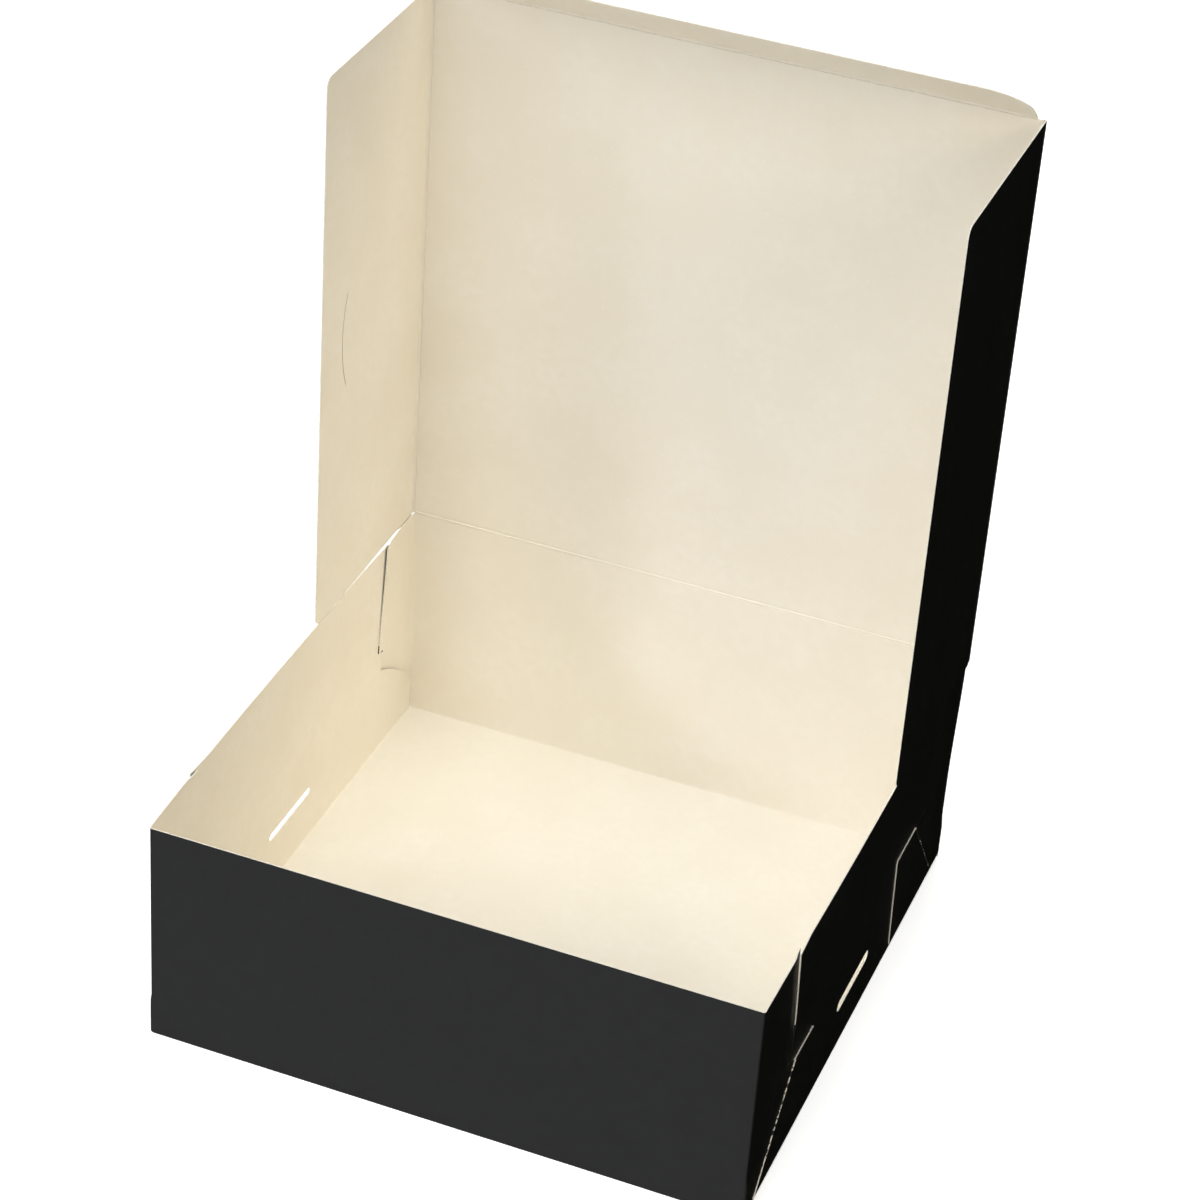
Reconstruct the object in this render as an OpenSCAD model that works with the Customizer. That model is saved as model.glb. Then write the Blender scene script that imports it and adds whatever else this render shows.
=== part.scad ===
// One-piece folding cake box of coated paperboard: a square tray with locked corners,
// and a lid hinged on the back wall with two deep side flaps and a front tuck flap.
// Modelled open, with the lid upright. Millimetres, +Z up, origin under the middle of the tray.

/* [Tray] */
// Outside width of the tray, from side wall to side wall
box_w = 305; // [240:1:360]
// Outside depth of the tray, from front wall to back wall
box_d = 305; // [240:1:360]
// Height of the lid's crease above the table
box_h = 127; // [110:1:160]
// Thickness of the paperboard
board = 0.6; // [0.4:0.05:0.8]

/* [Lid] */
// Width of a side flap, from its fold to its free edge
flap_w = 122; // [105:1:140]
// Radius of a side flap's free corners
flap_corner_r = 7; // [3:0.5:15]
// Length of the tuck flap, from its crease to its free edge
tuck_len = 32; // [25:1:45]
// Radius of the tuck flap's free corners
tuck_corner_r = 22; // [8:1:24]
// How far the tuck flap is folded in from the lid's plane, in degrees
tuck_fold = 50.5; // [20:0.5:80]

/* [Side locks] */
// Distance from a side flap's fold to the ends of its half-moon slit
slit_from_fold = 92; // [75:1:94]
// Straight length of the half-moon slit, from end to end
slit_chord = 55; // [40:1:70]
// How far the half-moon slit bows towards the flap's free edge
slit_bow = 6; // [3:0.5:8]
// Width of the half-moon cut
slit_cut = 0.8; // [0.5:0.1:1.2]
// Length of the slot in a side wall that takes the half-moon tongue
slot_len = 48; // [36:1:60]
// Height of that slot
slot_h = 5; // [4.5:0.1:7]

/* [Front lock corners] */
// Distance from a front corner to the side wall's end, at the rim
front_end_top = 44; // [36:1:50]
// Distance from a front corner to the side wall's end, at the top of its lower ear
front_end_low = 54; // [51:1:60]
// Height of the side wall's front ear
front_ear_h = 48; // [42:1:56]
// How far a front corner flap's outer tongue covers the joint above the ear
front_cover = 4; // [2:0.5:8]
// Distance from a front corner to the end of its outer tongue
front_tongue = 86; // [75:1:95]

/* [Back lock corners] */
// Distance from a back corner to the side wall's end, at the rim
back_end_top = 35; // [28:1:40]
// Distance from a back corner to the side wall's end, at the top of its lower ear
back_end_low = 43; // [41:1:50]
// Height of the side wall's back ear
back_ear_h = 51; // [44:1:58]
// How far a back corner flap's outer tongue covers the joint above the ear
back_cover = 10; // [2:0.5:12]
// Distance from a back corner to the end of its outer tongue
back_tongue = 94; // [80:1:105]

/* [All lock corners] */
// Height of a side wall's ear where it meets the corner
ear_foot = 18; // [10:1:26]
// How far an ear's edge bows up from a straight line
ear_bow = 4; // [1:0.5:7]
// Gap between a corner flap and the cut edges of the side wall
lock_gap = 1; // [0.5:0.1:1.6]
// How far a corner flap reaches behind the side wall's end
lock_overlap = 4; // [2:0.5:8]
// How far a tongue's end slants back towards the corner at its foot
tongue_slant = 8; // [0:1:12]
// Height of a tongue's foot above the table
tongue_foot = 4; // [2:0.5:8]

/* [Fits] */
// How far the side walls stop below the lid's crease
side_rim_drop = 1; // [0.8:0.1:3]
// How far the front wall stops below the lid's crease
front_rim_drop = 2.6; // [2.6:0.1:6]
// Room between a side flap and the tray's outer tongues
flap_clearance = 1.3; // [0.8:0.1:2.5]
// Room between the tucked-in flap and the front wall
tuck_clearance = 0.4; // [0.3:0.05:0.6]
// Room between the tuck flap's ends and the corner flaps
tuck_side_clearance = 0.8; // [0.4:0.1:3]
// Room between the rounded edges of two panels that are folded square to each other
fold_room = 0.05; // [0.03:0.01:0.2]

/* [Hidden] */
$fn = 64;
arc_steps = 16;
outside_black = "#2b2d2c";
side_rim = box_h - side_rim_drop;
front_rim = box_h - front_rim_drop;
crease_reach = (board + fold_room) / sqrt(2);
back_rim = box_h - crease_reach;
hinge_y = box_d / 2 - board / 2;
lid_len = box_d - board / 2 - board - tuck_clearance - board / 2;
tuck_z = box_h + lid_len;
fold_x = box_w / 2 + board + flap_clearance + board / 2;
tuck_half = box_w / 2 - 2 * board - tuck_side_clearance;
slit_mid = lid_len / 2;
slot_z = box_h - slit_from_fold - slit_bow;
slot_mid = box_d - board / 2 - slit_mid;

// A lock corner's sizes: wall end at the rim and at the ear, ear height, cover, tongue reach, corner rim
front_lock = [front_end_top, front_end_low, front_ear_h, front_cover, front_tongue, front_rim];
back_lock = [back_end_top, back_end_low, back_ear_h, back_cover, back_tongue, side_rim];

// Points of a shallow arc from a to b that bows to the left of that direction
function arc_between(a, b, bow) =
    let (
        span = b - a,
        half = norm(span) / 2,
        radius = (half * half + bow * bow) / (2 * bow),
        left = [-span[1], span[0]] / norm(span),
        centre = (a + b) / 2 + left * (bow - radius),
        reach = asin(half / radius),
        middle = atan2(left[1], left[0])
    )
    [for (i = [0:arc_steps])
        let (turn = middle + reach - 2 * reach * i / arc_steps)
        centre + radius * [cos(turn), sin(turn)]];

// Top edge of a side wall's ear, from the corner inwards, raised and cut short by given amounts
function ear_edge(lock, raise = 0, short = 0) =
    arc_between([0, ear_foot + raise], [lock[1] - short, lock[2] + raise], ear_bow);

// One end of a side wall: its foot, its ear and its slanted end
function wall_end(lock) = concat([[0, 0]], ear_edge(lock), [[lock[0], side_rim]]);

// Points seen from the other end of the side wall
function from_back(points) =
    [for (i = [len(points) - 1:-1:0]) [box_d - points[i][0], points[i][1]]];

// One ply of board, counted outwards from the side wall's outer face
module ply(number) {
    translate([0, 0, number * board]) linear_extrude(board) children();
}

// Section of a panel from its rounded crease edge to its free edge
module creased_strip(reach) {
    translate([crease_reach, -board / 2]) square([reach - crease_reach, board]);
    translate([crease_reach, 0]) circle(d = board);
}

// What is trimmed off a panel's two free corners to round them
module corner_trims(low, high, reach, radius) {
    start = reach - radius;
    difference() {
        translate([low - board, start]) square([high - low + 2 * board, radius + board]);
        translate([low + radius, start - board]) square([high - low - 2 * radius, radius + 3 * board]);
        for (x = [low + radius, high - radius])
            translate([x, start]) circle(radius);
    }
}

// Rounded edge of a creased panel, along X from the given place
module crease_along_x(place, length) {
    translate(place) rotate([0, 90, 0]) cylinder(d = board, h = length);
}

// Rounded edge of a creased panel, along Z from the given place
module crease_along_z(place, length) {
    translate(place) cylinder(d = board, h = length);
}

// Side wall: full length at the floor, cut away above its ears for the corner flaps
module side_wall_outline() {
    difference() {
        polygon(concat(wall_end(front_lock), from_back(wall_end(back_lock))));
        slot_round = slot_h / 2;
        for (side = [-1, 1])
            translate([slot_mid + side * (slot_len / 2 - slot_round), slot_z])
                circle(slot_round);
        translate([slot_mid - slot_len / 2 + slot_round, slot_z - slot_round])
            square([slot_len - 2 * slot_round, slot_h]);
    }
}

// Middle of a corner flap: fills the space that the side wall leaves free
module corner_flap_outline(lock) {
    polygon(concat(
        ear_edge(lock, lock_gap, lock_gap),
        [[lock[0] - lock_gap, side_rim], [0, lock[5]]]
    ));
}

// Strip of a corner flap that tucks behind the side wall's end
module corner_tuck_outline(lock) {
    inner = lock_gap + lock_overlap;
    foot = lock[2] + lock_gap;
    polygon([
        [lock[1] - inner, foot],
        [lock[1] + lock_overlap, foot],
        [lock[0] + lock_overlap, side_rim],
        [lock[0] - inner, side_rim]
    ]);
}

// Tongue of a corner flap that lies on the outside of the side wall's ear
module corner_tongue_outline(lock) {
    raise = lock_gap + lock[3];
    polygon(concat(
        [[0, tongue_foot]],
        ear_edge(lock, raise),
        [[lock[4], lock[2] + raise], [lock[4] - tongue_slant, tongue_foot]]
    ));
}

// One right-hand corner flap, in its three plies
module corner_flap(lock) {
    ply(-1) corner_flap_outline(lock);
    ply(-2) corner_tuck_outline(lock);
    ply(0) corner_tongue_outline(lock);
}

// Everything on the right-hand side of the tray, drawn as depth and height
module tray_side() {
    translate([box_w / 2, -box_d / 2, 0]) rotate([90, 0, 90]) {
        ply(-1) side_wall_outline();
        corner_flap(front_lock);
        translate([box_d, 0, 0]) mirror([1, 0, 0]) corner_flap(back_lock);
    }
}

// Tray: floor, front and back walls, side walls and the four locked corners
module tray() color(outside_black) {
    translate([-box_w / 2, -box_d / 2, 0]) cube([box_w, box_d, board]);
    translate([-box_w / 2, -box_d / 2, 0]) cube([box_w, board, front_rim]);
    translate([-box_w / 2, box_d / 2 - board, 0]) cube([box_w, board, back_rim]);
    crease_along_x([-box_w / 2, hinge_y, back_rim], box_w);
    tray_side();
    mirror([1, 0, 0]) tray_side();
}

// Lid panel, upright in line with the back wall, with a rounded crease on all four edges
module lid_panel() color(outside_black) {
    half = fold_x - crease_reach;
    low = box_h + crease_reach;
    high = tuck_z - crease_reach;
    translate([-half, hinge_y - board / 2, low]) cube([2 * half, board, high - low]);
    for (z = [low, high]) crease_along_x([-half, hinge_y, z], 2 * half);
    for (x = [-half, half]) crease_along_z([x, hinge_y, low], high - low);
}

// Half-moon cut that frees a locking tongue in a side flap
module half_moon_cut() {
    start = [slit_mid - slit_chord / 2, slit_from_fold];
    end = [slit_mid + slit_chord / 2, slit_from_fold];
    step = [0, slit_cut];
    outer = arc_between(start, end, slit_bow);
    inner = [for (i = [len(outer) - 1:-1:0]) outer[i] - step];
    polygon(concat(outer, inner));
}

// A cut through the right side flap, drawn along the fold and out from it
module through_flap() {
    translate([fold_x - board, hinge_y, box_h])
        rotate([0, 90, 0])
            rotate([0, 0, 180])
                linear_extrude(2 * board) children();
}

// Side flap on the right, square to the lid and pointing forwards
module lid_flap() {
    low = crease_reach;
    high = lid_len - crease_reach;
    difference() {
        translate([fold_x, hinge_y, box_h + low])
            rotate([0, 0, -90])
                linear_extrude(high - low) creased_strip(flap_w);
        through_flap() corner_trims(low, high, flap_w, flap_corner_r);
        through_flap() half_moon_cut();
    }
}

module lid_flap_right() color(outside_black) lid_flap();

module lid_flap_left() color(outside_black) mirror([1, 0, 0]) lid_flap();

// Tuck flap on the lid's front crease, part folded
module tuck_flap() color(outside_black) {
    translate([0, hinge_y, tuck_z])
        rotate([90 + tuck_fold, 0, 0])
            difference() {
                translate([-tuck_half, 0, 0])
                    rotate([90, 0, 90])
                        linear_extrude(2 * tuck_half) creased_strip(tuck_len);
                translate([0, 0, -board])
                    linear_extrude(2 * board)
                        corner_trims(-tuck_half, tuck_half, tuck_len, tuck_corner_r);
            }
}

tray();
lid_panel();
lid_flap_left();
lid_flap_right();
tuck_flap();
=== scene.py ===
# Cake box folded from one sheet of black coated board, cream inside, with its lid standing open.
import math
import bpy
from mathutils import Matrix, Vector


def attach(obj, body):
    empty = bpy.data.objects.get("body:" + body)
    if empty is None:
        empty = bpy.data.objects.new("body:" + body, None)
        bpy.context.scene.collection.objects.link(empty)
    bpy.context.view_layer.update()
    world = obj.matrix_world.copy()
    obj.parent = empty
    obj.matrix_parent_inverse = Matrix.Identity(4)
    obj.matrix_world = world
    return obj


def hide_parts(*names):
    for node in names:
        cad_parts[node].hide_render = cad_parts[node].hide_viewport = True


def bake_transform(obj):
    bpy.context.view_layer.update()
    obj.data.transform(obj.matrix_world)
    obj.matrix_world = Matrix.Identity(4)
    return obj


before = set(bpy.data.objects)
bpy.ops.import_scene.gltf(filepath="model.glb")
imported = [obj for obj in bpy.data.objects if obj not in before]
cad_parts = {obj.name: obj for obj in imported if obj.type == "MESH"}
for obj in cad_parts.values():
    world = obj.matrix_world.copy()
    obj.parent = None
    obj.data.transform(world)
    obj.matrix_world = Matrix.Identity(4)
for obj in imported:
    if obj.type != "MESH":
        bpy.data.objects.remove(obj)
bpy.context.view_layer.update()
scene = bpy.context.scene

# Sizes in millimetres, as in the part's source
MM = 0.001
BOARD = 0.6
WALL = 152.2
OUTER = 152.5
FRONT_RIM = 124.4
SIDE_RIM = 126.0
HINGE_Z = 127.0
HINGE_Y = 152.2
FOLD_X = 154.7
LID_LEN = 303.4
LID_TOP = HINGE_Z + LID_LEN
FLAP_W = 122.0
TUCK_LEN = 32.0
TUCK_HALF = 150.5
TUCK_CORNER = 22.0
TUCK_FOLD = math.radians(50.5)
SLIT_FROM_FOLD = 92.0
SLIT_CHORD = 55.0
SLIT_BOW = 6.0
SLOT_Z = 29.0
SLOT_MID = 0.5
SLOT_LEN = 48.0
EAR_FOOT = 18.0
EAR_BOW = 4.0
TUCKED_IN = 4.0
TONGUE_SLANT = 8.0
TONGUE_FOOT = 4.0

# Details that differ a little from the part's source, as the photograph shows them
FLAP_CORNER = 5.0
SLIT_CUT = 0.35
SLOT_HEIGHTS = {-1: 4.2, 1: 6.4}

# The folded board's bends: radius and arc of its middle layer, where they start, their steps, the
# height from which a wall is clear of them, and how near to a fold a point counts as on it
BEND = 0.8
ARC = BEND * math.pi / 2
BEND_START = WALL - BEND
BEND_STEPS = 4
PAST_BEND = 4.0
ON_FOLD = 1e-4

# How the side walls really lie: the pitch of their plies, their bulge, the rise of their rim, their
# curled front ends and their pressed ears
PLY = 0.65
WALL_BOW = 1.65
BOW_POWER = 1.4
BOW_FOOT = 1.0
FULL_BOW_TO = 100.0
CORNER_BOW_FROM = 140.0
RIM_LIFT = 0.1
RIM_LIFT_FROM = 70.0
RIM_LIFT_FULL = 0.3
END_CURL = 0.9
CURL_REACH = 16.0
CURL_START = 8.0
CURL_FULL = 90.0
EAR_LEAN = 0.8
LEAN_REACH = 9.0
LEAN_FADE = 8.0

# How the corners meet: room for the folds, the notch over a tongue, and the height of the back corners
CORNER_FOOT = 0.7
FOOT_REACH = 0.7
CORNER_ROOM = 1.6
ABOVE_BEND = 1.2
EAR_ROOM = 1.3
EAR_START = 1.4
NOTCH = 1.2
NOTCH_ROOT = 2.0
BACK_CORNER_RIM = 126.2

# How the lid really lies: its bow, its ears beside the tuck flap, the lean and the edges of its side
# flaps, half a crease's width, and how far, from which height and how near to the back corners it
# holds the side walls apart
LID_BOW = 1.2
LID_EAR = 1.2
FLAP_LEAN = 0.7
FLAP_LOW = -0.3
FLAP_HIGH = LID_LEN - 0.5
FLAP_DIP = 1.4
DIP_TO = 14.0
DIP_END = 22.0
FLAP_SAG = 0.4
SAG_FROM = 48.0
SAG_FULL = 66.0
CREASE_HALF = 2.0
CREASE_FOOT = -0.5
SPLAY = FOLD_X - CREASE_HALF - BEND_START
SPLAY_FROM = 50.0
SPLAY_REACH = 42.0
SPLAY_FULL = 8.0

# Lock corners: the wall's end at the rim and at its ear, the ear's height, where the tongue ends,
# and a point and slope of the creased diagonal on the tongue. The tongue's top edge is painted black as
# shade up to one depth and pale from there on, the wall's end is painted black as shade up to one
# height, and the tucked strip stands off the wall.
FRONT_LOCK = {
    "end_top": 44.0, "end_low": 54.0, "ear": 48.0, "cover": 4.0, "tongue_top": 53.0, "tongue": 86.0,
    "rim": FRONT_RIM, "diagonal": (15.5, 8.3), "slope": 1.07,
    "shaded_top_to": 57.0, "shaded_end_to": 80.0, "strip_lift": 0.4,
}
BACK_LOCK = {
    "end_top": 35.0, "end_low": 43.0, "ear": 51.0, "cover": 10.0, "tongue_top": 62.0, "tongue": 94.0,
    "rim": HINGE_Z - CREASE_HALF, "diagonal": (64.0, 63.0), "slope": 1.25,
    "shaded_top_to": 62.0, "shaded_end_to": 0.0, "strip_lift": 1.0,
}
RIDGE = 0.3
RIDGE_HALF = 0.32

# Steps of the grid that divides the sheets, so that they can bend
FLOOR_GRID_ACROSS = 21.0
FLOOR_GRID_ALONG = 8.4
WALL_GRID = 4
LID_GRID = 12.0
FLAP_GRID = 10.0
TUCK_GRID = 4.0

# Finishes of a sheet's faces, by the number of their material. Three belong together: that of the
# sheet's own side, of its back and of its cut edge. A face is marked with the first of its three.
CREAM = 0
BLACK = 1
CUT = 2
# The creased set: black skin with pale cracks that paint the crease's highlight
CREASED = 3
# The last set paints shade: its cut edges are black
SHADED_EDGE = 6

# How near a face lies to an edge painted black as shade: a tongue's top, a wall's end, a slit
SHADE_TOP = 6.0
SHADE_END = 8.0
SHADE_BAND = 12.0


def smooth_step(low, high, value):
    """Rises smoothly from 0 at low to 1 at high."""
    share = min(1.0, max(0.0, (value - low) / (high - low)))
    return share * share * (3 - 2 * share)


def deselect():
    """Returns to object mode with nothing selected."""
    if bpy.context.object and bpy.context.object.mode != "OBJECT":
        bpy.ops.object.mode_set(mode="OBJECT")
    bpy.ops.object.select_all(action="DESELECT")


def select_only(piece):
    """Makes one piece the selected and active one."""
    deselect()
    piece.select_set(True)
    bpy.context.view_layer.objects.active = piece


def signed_area(outline):
    """Area of an outline, positive when it runs anticlockwise."""
    pairs = zip(outline, outline[1:] + outline[:1])
    return sum(a[0] * b[1] - b[0] * a[1] for a, b in pairs) / 2


def arc_points(centre, radius, start, end, steps):
    """Points along a circular arc, angles in degrees."""
    turns = [math.radians(start + (end - start) * i / steps) for i in range(steps + 1)]
    return [(centre[0] + radius * math.cos(t), centre[1] + radius * math.sin(t)) for t in turns]


def flat_face(outline):
    """One flat face with the given outline in millimetres, turned to run anticlockwise."""
    if signed_area(outline) < 0:
        outline = outline[::-1]
    deselect()
    bpy.ops.mesh.primitive_circle_add(vertices=len(outline), radius=0.1, fill_type="NGON")
    face = bpy.context.object
    for vertex, point in zip(face.data.vertices, outline):
        vertex.co = (point[0] * MM, point[1] * MM, 0)
    return face


def score_line(place, direction):
    """Cuts the panel being edited along one straight line, and keeps both sides."""
    bpy.ops.mesh.select_all(action="SELECT")
    bpy.ops.mesh.bisect(plane_co=place, plane_no=direction, threshold=1e-7)


def cut_panel(outline, across=(), along=(), slants=()):
    """Cuts one flat panel to an outline in millimetres, then divides it at the given places."""
    panel = flat_face(outline)
    bpy.ops.object.mode_set(mode="EDIT")
    for place in across:
        if min(p[0] for p in outline) < place < max(p[0] for p in outline):
            score_line((place * MM, 0, 0), (1, 0, 0))
    for place in along:
        if min(p[1] for p in outline) < place < max(p[1] for p in outline):
            score_line((0, place * MM, 0), (0, 1, 0))
    for point, direction in slants:
        score_line((point[0] * MM, point[1] * MM, 0), direction)
    bpy.ops.object.mode_set(mode="OBJECT")
    return panel


def join_panels(panels, name):
    """Joins flat panels into one sheet along the edges that they share."""
    select_only(panels[0])
    for panel in panels:
        panel.select_set(True)
    if len(panels) > 1:
        bpy.ops.object.join()
    sheet = bpy.context.object
    bpy.ops.object.mode_set(mode="EDIT")
    bpy.ops.mesh.select_all(action="SELECT")
    bpy.ops.mesh.remove_doubles(threshold=2e-6)
    bpy.ops.object.mode_set(mode="OBJECT")
    sheet.name = name
    sheet.data.name = name
    return sheet


def shape_by(piece, place):
    """Moves every point of a piece to where the given rule puts it, in millimetres."""
    for vertex in piece.data.vertices:
        vertex.co = Vector(place(*(vertex.co / MM))) * MM


def give_board(piece):
    """Gives a sheet its thickness: cream on its own side, black behind, pale on its cut edges; a
    crease's faces carry a painted highlight, and some cut edges are painted black as shade.
    """
    select_only(piece)
    plain = [cream_board, black_board, cut_edge]
    # Black skin whose pale cracks paint the crease's highlight
    creased = [cream_board, crease_highlight_ink, cut_edge]
    # Cut edges painted black as shade
    shaded_edge_set = [cream_board, black_board, black_board]
    for material in plain + creased + shaded_edge_set:
        piece.data.materials.append(material)
    thick = piece.modifiers.new("board", "SOLIDIFY")
    thick.thickness = BOARD * MM
    thick.offset = 0
    thick.use_even_offset = True
    thick.material_offset = BLACK
    thick.material_offset_rim = CUT
    bpy.ops.object.modifier_apply(modifier=thick.name)
    bpy.ops.object.shade_smooth_by_angle(angle=math.radians(35))


# Materials

CREAM_PALE = "#f3ede0"
CREAM_DEEP = "#f0e9da"
CREAM_FLECK = "#f8f4ea"
EDGE_PALE = "#f6f3ea"
EDGE_DEEP = "#e2dac9"
INK_DEEP = "#060807"
INK_PALE = "#0b0e0d"
CREASE_INK = "#101413"
# Pale board in the crease's cracks: a painted highlight
CREASE_HIGHLIGHT = "#dcd6c8"
PAPER_IOR = 1.45
COATING_IOR = 1.5
RELIEF = 0.0002


def linear(code):
    """Linear colour of an sRGB hex value."""
    parts = [int(code[i:i + 2], 16) / 255 for i in (1, 3, 5)]
    return [p / 12.92 if p <= 0.04045 else ((p + 0.055) / 1.055) ** 2.4 for p in parts] + [1]


def add_node(tree, kind, sockets, **settings):
    """Adds a node; a socket, by name or number, gets a value, an output, or a node's output in use."""
    node = tree.nodes.new(kind)
    for key, value in settings.items():
        setattr(node, key, value)
    for key, value in sockets.items():
        if isinstance(value, bpy.types.Node):
            value = [output for output in value.outputs if output.enabled][0]
        if isinstance(value, bpy.types.NodeSocket):
            tree.links.new(value, node.inputs[key])
        else:
            node.inputs[key].default_value = value
    return node


def new_material(name):
    """An empty node material and its tree."""
    material = bpy.data.materials.new(name)
    material.use_nodes = True
    tree = material.node_tree
    tree.nodes.clear()
    return material, tree


def patches(tree, size_mm, detail=2.0, stretch=(1, 1, 1)):
    """Cloudy patches of about the given size in millimetres, longer where they are stretched."""
    coords = add_node(tree, "ShaderNodeTexCoord", {})
    scale = [1 / (size_mm * MM * s) for s in stretch]
    place = add_node(tree, "ShaderNodeMapping", {"Vector": coords.outputs["Object"], "Scale": scale})
    return add_node(tree, "ShaderNodeTexNoise", {"Vector": place, "Scale": 1.0, "Detail": detail})


def finish_board(tree, colour, roughness, ior, height, strength):
    """Closes a board material with its shader and a slight relief."""
    sockets = {"Height": height, "Strength": strength, "Distance": RELIEF}
    bump = add_node(tree, "ShaderNodeBump", sockets)
    sockets = {"Base Color": colour, "Roughness": roughness, "IOR": ior, "Normal": bump}
    shader = add_node(tree, "ShaderNodeBsdfPrincipled", sockets)
    add_node(tree, "ShaderNodeOutputMaterial", {"Surface": shader})


def cream_paper():
    """Uncoated bleached board: matt cream, cloudy where its fibres lie thicker, with fine flecks."""
    material, tree = new_material("cream_uncoated_board")
    sockets = {"Value": patches(tree, 40, 3.0), "From Min": 0.35, "From Max": 0.65}
    cloud = add_node(tree, "ShaderNodeMapRange", sockets)
    sockets = {"Value": patches(tree, 5), "From Min": 0.35, "From Max": 0.65}
    flocs = add_node(tree, "ShaderNodeMapRange", sockets)
    # Fibres are hundredths of a millimetre thick; they are drawn about ten times coarser here
    fibre = patches(tree, 0.4, 2.0, (4, 1, 4))
    sockets = {"Value": patches(tree, 1.6, 1.0), "From Min": 0.70, "From Max": 0.76, "To Max": 0.5}
    fleck = add_node(tree, "ShaderNodeMapRange", sockets)
    sockets = {"Factor": cloud, "A": linear(CREAM_PALE), "B": linear(CREAM_DEEP)}
    clouded = add_node(tree, "ShaderNodeMix", sockets, data_type="RGBA")
    shade = add_node(tree, "ShaderNodeMapRange", {"Value": flocs, "To Max": 0.5})
    sockets = {"Factor": shade, "A": clouded, "B": linear(CREAM_DEEP)}
    shaded = add_node(tree, "ShaderNodeMix", sockets, data_type="RGBA")
    sockets = {"Factor": fleck, "A": shaded, "B": linear(CREAM_FLECK)}
    flecked = add_node(tree, "ShaderNodeMix", sockets, data_type="RGBA")
    sockets = {"Value": flocs, "To Min": 0.76, "To Max": 0.88}
    roughness = add_node(tree, "ShaderNodeMapRange", sockets)
    finish_board(tree, flecked, roughness, PAPER_IOR, fibre, 0.10)
    return material


def cut_board():
    """Cut edge of the board: pale, furry layers of fibre with darker breaks between them."""
    material, tree = new_material("pale_cut_board_edge")
    sockets = {"Value": patches(tree, 0.6, 3.0, (3, 3, 1)), "From Min": 0.3, "From Max": 0.7}
    layers = add_node(tree, "ShaderNodeMapRange", sockets)
    sockets = {"Factor": layers, "A": linear(EDGE_PALE), "B": linear(EDGE_DEEP)}
    colour = add_node(tree, "ShaderNodeMix", sockets, data_type="RGBA")
    finish_board(tree, colour, 0.9, PAPER_IOR, layers, 0.2)
    return material


def black_coating():
    """Clay-coated board printed solid black: a satin skin with print mottle and faint rub marks."""
    material, tree = new_material("black_coated_board")
    sockets = {"Value": patches(tree, 6, 3.0), "From Min": 0.3, "From Max": 0.7}
    mottle = add_node(tree, "ShaderNodeMapRange", sockets)
    grain = patches(tree, 0.5)
    sockets = {"Value": patches(tree, 25, 4.0, (1, 1, 3)), "From Min": 0.4, "From Max": 0.7}
    rubbed = add_node(tree, "ShaderNodeMapRange", sockets)
    sockets = {"Factor": mottle, "A": linear(INK_DEEP), "B": linear(INK_PALE)}
    colour = add_node(tree, "ShaderNodeMix", sockets, data_type="RGBA")
    sockets = {"Value": rubbed, "To Min": 0.49, "To Max": 0.53}
    roughness = add_node(tree, "ShaderNodeMapRange", sockets)
    finish_board(tree, colour, roughness, COATING_IOR, grain, 0.06)
    return material


def crease_highlight_coating():
    """Black skin along a crease with short pale cracks that paint the crease's highlight."""
    material, tree = new_material("black_coating_painted_crease_highlight")
    highlight_breaks = patches(tree, 2.4)
    coords = add_node(tree, "ShaderNodeTexCoord", {})
    axes = add_node(tree, "ShaderNodeSeparateXYZ", {"Vector": coords.outputs["Object"]})
    # The painted highlight runs along most of the front corners' crease, on the back ones only here and
    # there
    sockets = {
        "Value": axes.outputs["Y"],
        "From Min": -0.05, "From Max": 0.05, "To Min": 0.43, "To Max": 0.59,
    }
    start = add_node(tree, "ShaderNodeMapRange", sockets)
    stop = add_node(tree, "ShaderNodeMath", {0: start, 1: 0.05}, operation="ADD")
    sockets = {"Value": highlight_breaks, "From Min": start, "From Max": stop}
    highlight_share = add_node(tree, "ShaderNodeMapRange", sockets)
    sockets = {"Factor": highlight_share, "A": linear(CREASE_INK), "B": linear(CREASE_HIGHLIGHT)}
    colour = add_node(tree, "ShaderNodeMix", sockets, data_type="RGBA")
    finish_board(tree, colour, 0.7, COATING_IOR, highlight_breaks, 0.3)
    return material


cream_board = cream_paper()
cut_edge = cut_board()
black_board = black_coating()
crease_highlight_ink = crease_highlight_coating()


# Tray: the blank is cut flat, scored in a grid, joined, and folded up

def bend_up(distance):
    """Where a point of the blank ends up: how far out it lies, and how high above the table."""
    past = distance - BEND_START
    if past <= 0:
        return distance, BOARD / 2
    if past < ARC:
        turn = past / BEND
        return BEND_START + BEND * math.sin(turn), BOARD / 2 + BEND * (1 - math.cos(turn))
    return WALL, BOARD / 2 + BEND + past - ARC


def on_blank(height):
    """Distance from the blank's middle of a point at this height on a folded-up wall."""
    return BEND_START + ARC + height - BOARD / 2 - BEND


def ear_top(lock, depth):
    """Height of the top edge of a side wall's ear."""
    share = min(depth, lock["end_low"]) / lock["end_low"]
    return EAR_FOOT + (lock["ear"] - EAR_FOOT) * share + EAR_BOW * 4 * share * (1 - share)


def wall_end(lock, height):
    """Depth of a side wall's slanted end from the corner."""
    share = (height - lock["ear"]) / (SIDE_RIM - lock["ear"])
    return lock["end_low"] + (lock["end_top"] - lock["end_low"]) * share


def off_diagonal(lock, depth, height):
    """Distance of a point from the creased diagonal of a corner flap."""
    across = (depth - lock["diagonal"][0]) * lock["slope"] - (height - lock["diagonal"][1])
    return across / math.hypot(1, lock["slope"])


def between_corners(y):
    """Rises from 0 at a side wall's corners to 1 at its middle."""
    return max(0.0, math.cos(math.pi * y / (2 * OUTER)))


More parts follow.
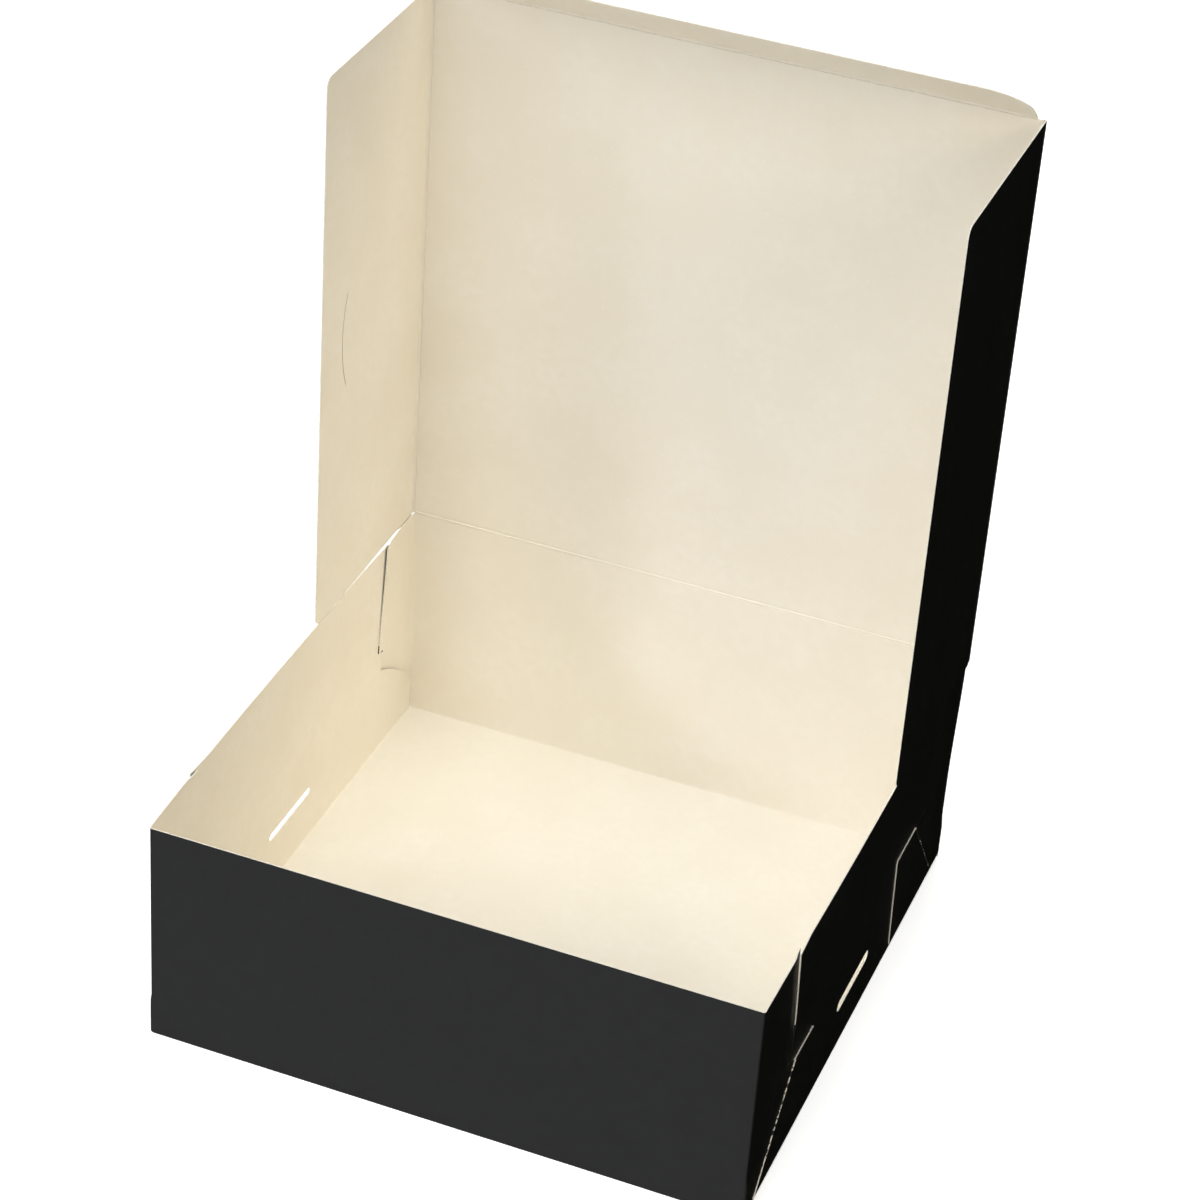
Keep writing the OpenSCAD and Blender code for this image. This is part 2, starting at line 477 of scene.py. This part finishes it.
def rim_lift(y, height):
    """A side wall's rim rises a little between its corners."""
    along = smooth_step(0.0, RIM_LIFT_FULL, between_corners(y))
    return RIM_LIFT * along * smooth_step(RIM_LIFT_FROM, SIDE_RIM, height)


def splay_out(y, height):
    """The back corners stand a little wider at the top, where the lid holds them."""
    near_corner = smooth_step(OUTER - SPLAY_REACH, OUTER - SPLAY_FULL, y)
    return SPLAY * smooth_step(SPLAY_FROM, SIDE_RIM, height) * near_corner


def bow_out(y, height):
    """How far a side wall bulges at this place, more fully towards the back."""
    along = between_corners(y)
    if y > 0:
        fuller = 1 - (y / OUTER) ** 3
        along += (fuller - along) * (1 - smooth_step(FULL_BOW_TO, CORNER_BOW_FROM, y))
    return WALL_BOW * along * max(0.0, (height - BOW_FOOT) / SIDE_RIM) ** BOW_POWER


def wall_shape(y, height):
    """How far a side wall's own sheet stands out: curled at its front end, pressed in at its ears."""
    lock = BACK_LOCK if y > 0 else FRONT_LOCK
    depth = OUTER - abs(y)
    from_ear = abs(height - ear_top(lock, depth))
    near_ear = 1 - smooth_step(0.0, LEAN_REACH, from_ear)
    lean = near_ear * (1 - smooth_step(0.0, LEAN_FADE, depth - lock["end_low"]))
    if lock is BACK_LOCK:
        return -EAR_LEAN * lean
    past_end = depth - wall_end(lock, height)
    curl = 1 - smooth_step(0.0, CURL_REACH, past_end)
    curl *= smooth_step(lock["ear"] + CURL_START, CURL_FULL, height)
    return END_CURL * curl - EAR_LEAN * lean


def step_between_plies(lock, depth, height):
    """Which ply a corner flap lies in: 1 outside the ear, 0 level with the wall, -1 behind its end."""
    if depth > lock["end_low"] - 1.5 and height < lock["tongue_top"] + 0.5:
        return 1.0
    # Each step runs over so many millimetres above the ear, past the wall's end or above the table
    outside = 1 - smooth_step(0.3, lock["cover"] + 0.6, height - ear_top(lock, depth))
    past_end = depth - wall_end(lock, height)
    behind = smooth_step(-5.0, -0.7, past_end) * smooth_step(lock["ear"], lock["ear"] + 6, height)
    lifted = smooth_step(-3.0, TUCKED_IN, past_end) * smooth_step(60.0, SIDE_RIM, height)
    return outside - behind * (1 + lifted * lock["strip_lift"] / PLY)


def fold_tray(x, y, _):
    """Folds a point of the flat blank up into the tray."""
    side = 1 if x > 0 else -1
    end = 1 if y > 0 else -1
    out_x, up_x = bend_up(abs(x))
    out_y, up_y = bend_up(abs(y))
    on_end_wall = abs(y) > BEND_START + ON_FOLD
    if on_end_wall and abs(x) <= BEND_START + ON_FOLD:
        wider = splay_out(end * OUTER, up_y) * (abs(x) / BEND_START) ** 3
        return x + side * wider, end * out_y, up_y
    if not on_end_wall:
        out = out_x + bow_out(y, up_x) + splay_out(y, up_x)
        if up_x > PAST_BEND:
            out += wall_shape(y, up_x)
        return side * out, y, up_x + rim_lift(y, up_x)
    # A corner flap: it lies along the side wall, as deep from the corner as it was wide on the blank
    lock = BACK_LOCK if end > 0 else FRONT_LOCK
    ply = step_between_plies(lock, up_x, up_y)
    turned = min(1.0, (abs(x) - BEND_START) / ARC)
    y_place = end * (out_y - (up_x - BOARD / 2))
    out = out_x + turned * ply * PLY + bow_out(y_place, up_y) + splay_out(y_place, up_y)
    if ply > 0.5 and up_x > PAST_BEND:
        out += RIDGE * max(0.0, 1 - abs(off_diagonal(lock, up_x, up_y)) / RIDGE_HALF)
    return side * out, y_place, up_y + rim_lift(y_place, up_y)


def corner_flap(side, lock):
    """Flat corner flap on a front or back wall: its middle, its tongue and its tucked strip."""
    end = 1 if lock is BACK_LOCK else -1
    top = lock["tongue_top"]
    notch_top = top + NOTCH
    notch_root = lock["end_low"] - NOTCH_ROOT
    reach = lock["tongue"]
    # Depths from the corner and heights: the foot, round the tongue, the notch, up the tucked strip
    shape = [(CORNER_ROOM, ABOVE_BEND), (CORNER_ROOM, TONGUE_FOOT), (reach - TONGUE_SLANT, TONGUE_FOOT)]
    shape += [(reach - 0.6, top - 1.4), (reach - 1.6, top)]
    shape += [(notch_root, top), (notch_root, notch_top)]
    shape += [(wall_end(lock, notch_top) + TUCKED_IN, notch_top)]
    shape += [(lock["end_top"] + TUCKED_IN, SIDE_RIM)]
    # The rim then rises to the back corner's height, or falls towards the front wall's
    if lock is BACK_LOCK:
        shape += [(18.0, SIDE_RIM), (14.0, BACK_CORNER_RIM), (-0.03, BACK_CORNER_RIM)]
    else:
        shape += [(2.5, lock["rim"] + 0.6)]
    points = [(on_blank(depth), on_blank(height)) for depth, height in shape]
    foot = on_blank(CORNER_FOOT)
    points = [(BEND_START, foot), (BEND_START + FOOT_REACH, foot)] + points
    points += [(BEND_START, on_blank(lock["rim"]))]
    return [(side * p, end * q) for p, q in points]


def diagonal_lines(side, lock):
    """Three close cuts along a corner flap's creased diagonal."""
    end = 1 if lock is BACK_LOCK else -1
    across = Vector((lock["slope"], -1)).normalized()
    lines = []
    middle = Vector((on_blank(lock["diagonal"][0]), on_blank(lock["diagonal"][1])))
    for shift in (-RIDGE_HALF, 0, RIDGE_HALF):
        point = middle + shift * across
        lines.append(((side * point.x, end * point.y), (side * across.x, end * across.y, 0)))
    return lines


def mark_finishes(sheet):
    """Marks the flat sheet's faces on the diagonal, which carry the crease's painted highlight, and
    where a cut edge is painted black as shade.
    """
    for face in sheet.data.polygons:
        lock = BACK_LOCK if face.center.y > 0 else FRONT_LOCK
        across = abs(face.center.x) / MM
        along = abs(face.center.y) / MM
        if across < on_blank(PAST_BEND):
            continue
        if along > BEND_START:
            depth = across - on_blank(0)
            height = along - on_blank(0)
            below_top = lock["tongue_top"] - height
            # A face on the diagonal gets the crease's painted highlight; one by a tongue's top edge gets
            # that cut edge painted black as shade
            if abs(off_diagonal(lock, depth, height)) < RIDGE_HALF and height < lock["tongue_top"]:
                face.material_index = CREASED
            elif abs(below_top) < SHADE_TOP and lock["end_low"] - SHADE_TOP < depth < lock["shaded_top_to"]:
                face.material_index = SHADED_EDGE
        else:
            height = across - on_blank(0)
            # By the wall's end, the cut edge is painted black as shade
            past_end = OUTER - along - wall_end(lock, height)
            if past_end < SHADE_END and lock["ear"] < height < lock["shaded_end_to"]:
                face.material_index = SHADED_EDGE


def half_side_wall(side, end):
    """Flat half of a side wall, from the middle of its slot to one corner."""
    lock = BACK_LOCK if end > 0 else FRONT_LOCK
    slot_half = SLOT_HEIGHTS[side] / 2
    slot_turn = SLOT_MID + end * (SLOT_LEN / 2 - slot_half)
    slot_end = arc_points((slot_turn, SLOT_Z), slot_half, -90, 90, 6)
    slot_end = [(slot_turn + end * (y - slot_turn), z) for y, z in slot_end]
    ear_steps = 12
    ear_reach = lock["end_low"] - EAR_ROOM
    ear = [OUTER - lock["end_low"] + ear_reach * i / ear_steps for i in range(ear_steps + 1)]
    shape = [(SLOT_MID, SLOT_Z - slot_half)] + slot_end + [(SLOT_MID, SLOT_Z + slot_half)]
    shape += [(SLOT_MID, SIDE_RIM), (end * (OUTER - lock["end_top"]), SIDE_RIM)]
    shape += [(end * place, ear_top(lock, OUTER - place)) for place in ear]
    shape += [(end * (OUTER - EAR_ROOM), EAR_START)]
    points = [(on_blank(z), y) for y, z in shape]
    points += [(BEND_START, end * BEND_START), (BEND_START, SLOT_MID)]
    return [(side * p, q) for p, q in points]


def end_wall(end, rim):
    """Flat front or back wall."""
    foot = on_blank(CORNER_FOOT)
    points = [(-BEND_START, BEND_START), (BEND_START, BEND_START), (BEND_START, foot)]
    points += [(BEND_START, on_blank(rim)), (-BEND_START, on_blank(rim)), (-BEND_START, foot)]
    return [(p, end * q) for p, q in points]


def blank_lines(step, extra=()):
    """Where the blank is divided: over the floor, across the bends and up the walls."""
    count = int(BEND_START // step)
    lines = [step * i for i in range(-count, count + 1)]
    bends = [BEND_START + ARC * i / BEND_STEPS for i in range(BEND_STEPS + 1)]
    walls = [on_blank(height) for height in range(WALL_GRID, int(HINGE_Z) + WALL_GRID, WALL_GRID)]
    return sorted(set(lines + [s * b for s in (-1, 1) for b in bends + walls] + list(extra)))


def make_tray():
    """The folded tray with its four locked corners."""
    across = blank_lines(FLOOR_GRID_ACROSS)
    along = blank_lines(FLOOR_GRID_ALONG, (SLOT_MID,))
    floor = [(-BEND_START, -BEND_START), (BEND_START, -BEND_START)]
    floor += [(BEND_START, BEND_START), (-BEND_START, BEND_START)]
    panels = []
    for outline in (floor, end_wall(-1, FRONT_LOCK["rim"]), end_wall(1, BACK_LOCK["rim"])):
        panels.append(cut_panel(outline, across, along))
    for side in (-1, 1):
        for end in (-1, 1):
            panels.append(cut_panel(half_side_wall(side, end), across, along))
        for lock in (FRONT_LOCK, BACK_LOCK):
            outline = corner_flap(side, lock)
            panels.append(cut_panel(outline, across, along, diagonal_lines(side, lock)))
    tray = join_panels(panels, "folded_tray")
    mark_finishes(tray)
    shape_by(tray, fold_tray)
    give_board(tray)
    return tray


# Lid and its flaps

def make_lid():
    """Lid panel between its creases, bowed a little towards the inside."""
    low = HINGE_Z + CREASE_HALF
    high = LID_TOP - CREASE_HALF
    ear = high + LID_EAR
    side = FOLD_X - CREASE_HALF
    outline = [(-side, low), (side, low), (side, ear), (TUCK_HALF, ear)]
    outline += [(TUCK_HALF, high), (-TUCK_HALF, high), (-TUCK_HALF, ear), (-side, ear)]
    lines_x = [LID_GRID * i for i in range(-12, 13)]
    lines_z = [HINGE_Z + LID_GRID * i for i in range(1, 25)]
    lid = join_panels([cut_panel(outline, lines_x, lines_z)], "lid_sheet")

    def place(x, z, _):
        across = math.cos(math.pi * x / (2 * FOLD_X))
        up = max(0.0, math.sin(math.pi * (z - HINGE_Z) / LID_LEN))
        return x, HINGE_Y - LID_BOW * across * up, z

    shape_by(lid, place)
    give_board(lid)
    return lid


def slit_arc():
    """Half-moon slit of a side flap, as distances from the fold and heights."""
    half = SLIT_CHORD / 2
    radius = (half * half + SLIT_BOW * SLIT_BOW) / (2 * SLIT_BOW)
    reach = math.degrees(math.asin(half / radius))
    centre = (SLIT_FROM_FOLD + SLIT_BOW - radius, LID_LEN / 2)
    return arc_points(centre, radius, -reach, reach, 16)


def shade_slit(flap):
    """Marks the faces around a flap's slit, whose cut edges are painted black as the shade in the slit.
    """
    for face in flap.data.polygons:
        from_slit = abs(face.center.x) / MM - SLIT_FROM_FOLD
        from_middle = abs(face.center.y / MM - LID_LEN / 2)
        if -SHADE_BAND < from_slit < SLIT_BOW + SHADE_END and from_middle < SLIT_CHORD / 2 + SHADE_BAND:
            face.material_index = SHADED_EDGE


def make_side_flap(name, side):
    """Side flap beyond its crease, cut in two panels along its half-moon slit."""
    dip = FLAP_LOW - FLAP_DIP
    sag = FLAP_LOW - FLAP_SAG
    corner_at = FLAP_W - FLAP_CORNER
    corner_low = arc_points((corner_at, sag + FLAP_CORNER), FLAP_CORNER, -90, 0, 8)
    corner_high = arc_points((corner_at, FLAP_HIGH - FLAP_CORNER), FLAP_CORNER, 0, 90, 8)
    outer_arc = slit_arc()
    inner_arc = [(f - SLIT_CUT, h) for f, h in outer_arc[1:-1]]
    # The lower edge dips beside the hinge, rises clear of the wall's corner and then sags
    inner = [(CREASE_HALF, CREASE_FOOT), (CREASE_HALF + 0.4, dip), (DIP_TO, dip)]
    inner += [(DIP_END, FLAP_LOW), (SAG_FROM, FLAP_LOW), (SAG_FULL, sag), (SLIT_FROM_FOLD, sag)]
    inner += [outer_arc[0]] + inner_arc
    inner += [outer_arc[-1], (SLIT_FROM_FOLD, FLAP_HIGH), (CREASE_HALF, FLAP_HIGH)]
    outer = [(SLIT_FROM_FOLD, sag)] + corner_low + corner_high
    outer += [(SLIT_FROM_FOLD, FLAP_HIGH)] + outer_arc[::-1]
    lines_f = [side * FLAP_GRID * i for i in range(1, 13)]
    lines_h = [LID_GRID * i for i in range(1, 26)]
    panels = []
    for outline in (inner, outer):
        panels.append(cut_panel([(side * f, h) for f, h in outline], lines_f, lines_h))
    flap = join_panels(panels, name)
    shade_slit(flap)

    def place(f, h, _):
        reach = abs(f)
        lean = FLAP_LEAN * reach / FLAP_W
        return side * (FOLD_X - lean), HINGE_Y - reach, HINGE_Z + h

    shape_by(flap, place)
    give_board(flap)
    return flap


def make_tuck_flap():
    """Tuck flap beyond its crease, with round corners."""
    start = TUCK_LEN - TUCK_CORNER
    outline = [(-TUCK_HALF, CREASE_HALF), (TUCK_HALF, CREASE_HALF)]
    outline += arc_points((TUCK_HALF - TUCK_CORNER, start), TUCK_CORNER, 0, 90, 12)
    outline += arc_points((TUCK_CORNER - TUCK_HALF, start), TUCK_CORNER, 90, 180, 12)
    lines_x = [LID_GRID * i for i in range(-12, 13)]
    lines_t = [TUCK_GRID * i for i in range(1, 8)]
    tuck = join_panels([cut_panel(outline, lines_x, lines_t)], "tuck_flap_sheet")

    def place(x, t, _):
        return x, HINGE_Y - t * math.sin(TUCK_FOLD), LID_TOP + t * math.cos(TUCK_FOLD)

    shape_by(tuck, place)
    give_board(tuck)
    return tuck


# Creases: short strips of board bent to their joint's angle, with a raised bead on the inside

# Steps along a strip, how squarely a face looks out or in, and half widths of the section's parts
CREASE_STATIONS = 24
FACING = 0.2
BENT_HALF = 0.5
FLAT_SLIDE = 0.2
VALLEY_END = 0.45
VALLEY_MIDDLE = 0.2
# Radius of the bead and depth of the valley beside it
HINGE_BEAD = (0.62, 0.15)
FLAP_BEAD = (1.0, 0.35)
TUCK_BEAD = (0.9, 0.4)


def make_crease(name, profile, length, place, outward, end_finish=CUT):
    """Strip of board along a crease, extruded from its section and moved to its place."""
    strip = flat_face(profile)
    strip.name = name
    strip.data.name = name
    bpy.ops.object.mode_set(mode="EDIT")
    bpy.ops.mesh.select_all(action="SELECT")
    for _ in range(CREASE_STATIONS):
        step = (0, 0, length * MM / CREASE_STATIONS)
        bpy.ops.mesh.extrude_region_move(TRANSFORM_OT_translate={"value": step})
    bpy.ops.object.mode_set(mode="OBJECT")
    shape_by(strip, place)
    select_only(strip)
    bpy.ops.object.mode_set(mode="EDIT")
    bpy.ops.mesh.select_all(action="SELECT")
    bpy.ops.mesh.normals_make_consistent(inside=False)
    bpy.ops.object.mode_set(mode="OBJECT")
    for material in (cream_board, black_board, cut_edge):
        strip.data.materials.append(material)
    direction = Vector(outward).normalized()
    for face in strip.data.polygons:
        facing = face.normal.dot(direction)
        if facing > FACING:
            face.material_index = BLACK
        elif facing < -FACING:
            face.material_index = CREAM
        else:
            face.material_index = end_finish
    bpy.ops.object.shade_smooth_by_angle(angle=math.radians(50))
    return strip


def crease_section(turn, bead, valley):
    """Section of a crease, along the panel and inwards, with its far side folded inwards by an angle."""
    half = BOARD / 2
    far = Vector((math.cos(turn), math.sin(turn)))
    inside = Vector((-math.sin(turn), math.cos(turn)))
    section = [Vector((-CREASE_HALF, -half)), Vector((-BENT_HALF, -half))]
    steps = 6
    # The outside of a flat crease has its points side by side; that of a turned one is an arc
    slide_reach = FLAT_SLIDE if turn == 0 else 0.0
    for i in range(steps + 1):
        angle = turn * i / steps
        slide = slide_reach * (2 * i / steps - 1)
        section.append(Vector((
            half * math.sin(angle) + slide * math.cos(angle),
            slide * math.sin(angle) - half * math.cos(angle),
        )))
    section += [far * BENT_HALF - inside * half, far * CREASE_HALF - inside * half]
    edge = math.asin(half / bead)
    foot = bead * math.cos(edge)
    near_points = ((CREASE_HALF, 0), (foot + VALLEY_END, 0), (foot + VALLEY_MIDDLE, -valley))
    section += [far * place + inside * (half + rise) for place, rise in near_points]
    bead_steps = 8
    for i in range(bead_steps + 1):
        angle = turn + edge + (math.pi - turn - 2 * edge) * i / bead_steps
        section.append(Vector((bead * math.cos(angle), bead * math.sin(angle))))
    section += [Vector((-place, half + rise)) for place, rise in near_points[::-1]]
    return section


def make_hinge():
    """Crease between the back wall and the lid."""
    def place(along, inwards, x):
        return x - BEND_START - SPLAY, HINGE_Y - inwards, HINGE_Z + along

    section = crease_section(0.0, *HINGE_BEAD)
    return make_crease("hinge_crease", section, 2 * (BEND_START + SPLAY), place, (0, 1, 0), BLACK)


def make_flap_crease(name, side):
    """Crease between the lid and a side flap."""
    def place(along, inwards, up):
        return side * (FOLD_X + along), HINGE_Y - inwards, HINGE_Z + CREASE_FOOT + up

    section = crease_section(math.pi / 2, *FLAP_BEAD)
    return make_crease(name, section, FLAP_HIGH - CREASE_FOOT, place, (side, 1, 0))


def make_tuck_crease():
    """Crease between the lid and the tuck flap."""
    def place(along, inwards, x):
        return x - TUCK_HALF, HINGE_Y - inwards, LID_TOP + along

    outward = (0, 1, math.tan(TUCK_FOLD / 2))
    section = crease_section(TUCK_FOLD, *TUCK_BEAD)
    return make_crease("tuck_crease", section, 2 * TUCK_HALF, place, outward)


tray = make_tray()
lid = make_lid()
left_flap = make_side_flap("left_flap_sheet", -1)
right_flap = make_side_flap("right_flap_sheet", 1)
tuck = make_tuck_flap()
hinge_crease = make_hinge()
left_crease = make_flap_crease("left_flap_crease", -1)
right_crease = make_flap_crease("right_flap_crease", 1)
tuck_crease = make_tuck_crease()

# Which CAD body each piece follows, and which CAD node it stands for
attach(tray, "tray")
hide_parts("tray")
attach(lid, "lid")
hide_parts("lid_panel")
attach(left_flap, "left_flap")
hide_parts("lid_flap_left")
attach(right_flap, "right_flap")
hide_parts("lid_flap_right")
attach(tuck, "tuck")
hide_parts("tuck_flap")


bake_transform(hinge_crease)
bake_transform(left_crease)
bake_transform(right_crease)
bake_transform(tuck_crease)


# Floor, light and camera

FLOOR_PALE = "#f5f5f5"
FLOOR_DEEP = "#f3f3f3"
WHITE = "#ffffff"
FLOOR_GLOW = 0.55
FLOOR_BOUNCE = 0.06
NEAR_FLOOR = 0.7
FAR_FLOOR = 1.6
WORLD_FRONT = 0.66
WORLD_EDGE = 0.9
WORLD_FACING = (-0.2, -0.97, -0.1)

# Softboxes: name, place and aim in metres, size in metres, power in watts, colour, spread in degrees
SOFTBOXES = (
    ("key_softbox", (0.2, -0.4, 2.7), (0, 0, 0.1), 1.4, 33.5, "#f2f9ff", 180),
    ("left_softbox", (-1.5, -0.9, 1.5), (0, 0, 0.1), 1.2, 7, WHITE, 180),
    ("right_grid_softbox", (1.8, -0.8, 1.3), (-0.1, 0.1, 0.04), 1.2, 1.65, "#fff0d4", 44),
    ("front_grid_softbox", (-0.3, -1.7, 1.35), (0.1, 0.12, -0.05), 0.9, 0.48, "#fbfdff", 28),
    ("left_grid_softbox", (-1.3, -1.3, 0.75), (0.17, 0.15, -0.06), 0.5, 0.16, "#f6f9ff", 13),
    ("back_softbox", (-0.6, 2.2, 1.0), (0, 0.1, 0.2), 1.4, 32, WHITE, 180),
)

# The photograph's camera, fitted to the box's corners: degrees, metres, and millimetres of lens
CAMERA_AZIMUTH = 19.26
CAMERA_ELEVATION = 33.50
CAMERA_ROLL = 4.25
CAMERA_AIM = (-0.0671, 0.2134, 0.060)
CAMERA_DISTANCE = 1.9812
CAMERA_LENS = 108.38
CAMERA_SENSOR = 36


def make_floor():
    """Plain white sweep under the box that glows: white to the camera, fully so far away, and faintly
    for all other rays, a painted glow that adds bounce light on the box.
    """
    deselect()
    bpy.ops.mesh.primitive_plane_add(size=12)
    floor = bpy.context.object
    floor.name = "white_floor"
    material, tree = new_material("white_paper_sweep")
    path = add_node(tree, "ShaderNodeLightPath", {})
    sockets = {"Factor": patches(tree, 60, 3.0), "A": linear(FLOOR_PALE), "B": linear(FLOOR_DEEP)}
    tint = add_node(tree, "ShaderNodeMix", sockets, data_type="RGBA")
    paper = add_node(tree, "ShaderNodeBsdfDiffuse", {"Color": tint})
    coords = add_node(tree, "ShaderNodeTexCoord", {})
    sockets = {0: coords.outputs["Object"]}
    away = add_node(tree, "ShaderNodeVectorMath", sockets, operation="LENGTH")
    sockets = {"Value": away, "From Min": NEAR_FLOOR, "From Max": FAR_FLOOR, "To Min": FLOOR_GLOW}
    seen_glow = add_node(tree, "ShaderNodeMapRange", sockets)
    # A faint glow for all rays but the camera's, a painted bounce light on the box
    sockets = {"Value": path.outputs["Is Camera Ray"], "To Min": FLOOR_BOUNCE, "To Max": seen_glow}
    strength = add_node(tree, "ShaderNodeMapRange", sockets)
    glow = add_node(tree, "ShaderNodeEmission", {"Color": linear(WHITE), "Strength": strength})
    both = add_node(tree, "ShaderNodeAddShader", {0: paper, 1: glow})
    add_node(tree, "ShaderNodeOutputMaterial", {"Surface": both})
    floor.data.materials.append(material)
    floor.visible_glossy = False


def add_soft_light(name, place, aim, size, power, colour, spread_angle):
    """A large square softbox; a grid on it narrows its spread."""
    data = bpy.data.lights.new(name, "AREA")
    data.shape = "SQUARE"
    data.size = size
    data.energy = power
    data.color = linear(colour)[:3]
    data.spread = math.radians(spread_angle)
    lamp = bpy.data.objects.new(name, data)
    scene.collection.objects.link(lamp)
    lamp.location = place
    lamp.rotation_euler = (Vector(aim) - Vector(place)).to_track_quat("-Z", "Y").to_euler()


def set_world():
    """White surroundings: full white for the camera, bright only in front as light on the box."""
    world = bpy.data.worlds.new("white_studio")
    scene.world = world
    world.use_nodes = True
    tree = world.node_tree
    tree.nodes.clear()
    path = add_node(tree, "ShaderNodeLightPath", {})
    coords = add_node(tree, "ShaderNodeTexCoord", {})
    sockets = {0: coords.outputs["Generated"], 1: Vector(WORLD_FACING).normalized()}
    facing = add_node(tree, "ShaderNodeVectorMath", sockets, operation="DOT_PRODUCT")
    sockets = {"Value": facing, "From Max": WORLD_EDGE, "To Max": WORLD_FRONT}
    glow = add_node(tree, "ShaderNodeMapRange", sockets, interpolation_type="SMOOTHSTEP")
    white = linear(WHITE)
    seen = add_node(tree, "ShaderNodeBackground", {"Color": white, "Strength": 1.0})
    around = add_node(tree, "ShaderNodeBackground", {"Color": white, "Strength": glow})
    sockets = {0: path.outputs["Is Camera Ray"], 1: around, 2: seen}
    mixed = add_node(tree, "ShaderNodeMixShader", sockets)
    add_node(tree, "ShaderNodeOutputWorld", {"Surface": mixed})


def add_camera():
    """Camera at the photograph's place."""
    azimuth = math.radians(CAMERA_AZIMUTH)
    elevation = math.radians(CAMERA_ELEVATION)
    roll = math.radians(CAMERA_ROLL)
    back = Vector((
        math.sin(azimuth) * math.cos(elevation),
        -math.cos(azimuth) * math.cos(elevation),
        math.sin(elevation),
    ))
    level_right = (-back).cross(Vector((0, 0, 1))).normalized()
    level_up = level_right.cross(-back)
    right = math.cos(roll) * level_right + math.sin(roll) * level_up
    up = math.cos(roll) * level_up - math.sin(roll) * level_right
    data = bpy.data.cameras.new("camera")
    data.sensor_width = CAMERA_SENSOR
    data.lens = CAMERA_LENS
    camera = bpy.data.objects.new("camera", data)
    scene.collection.objects.link(camera)
    turn = Matrix((right, up, back)).transposed().to_4x4()
    place = Vector(CAMERA_AIM) + back * CAMERA_DISTANCE
    camera.matrix_world = Matrix.Translation(place) @ turn
    scene.camera = camera


make_floor()
set_world()
for softbox in SOFTBOXES:
    add_soft_light(*softbox)
add_camera()
scene.view_settings.view_transform = "Standard"
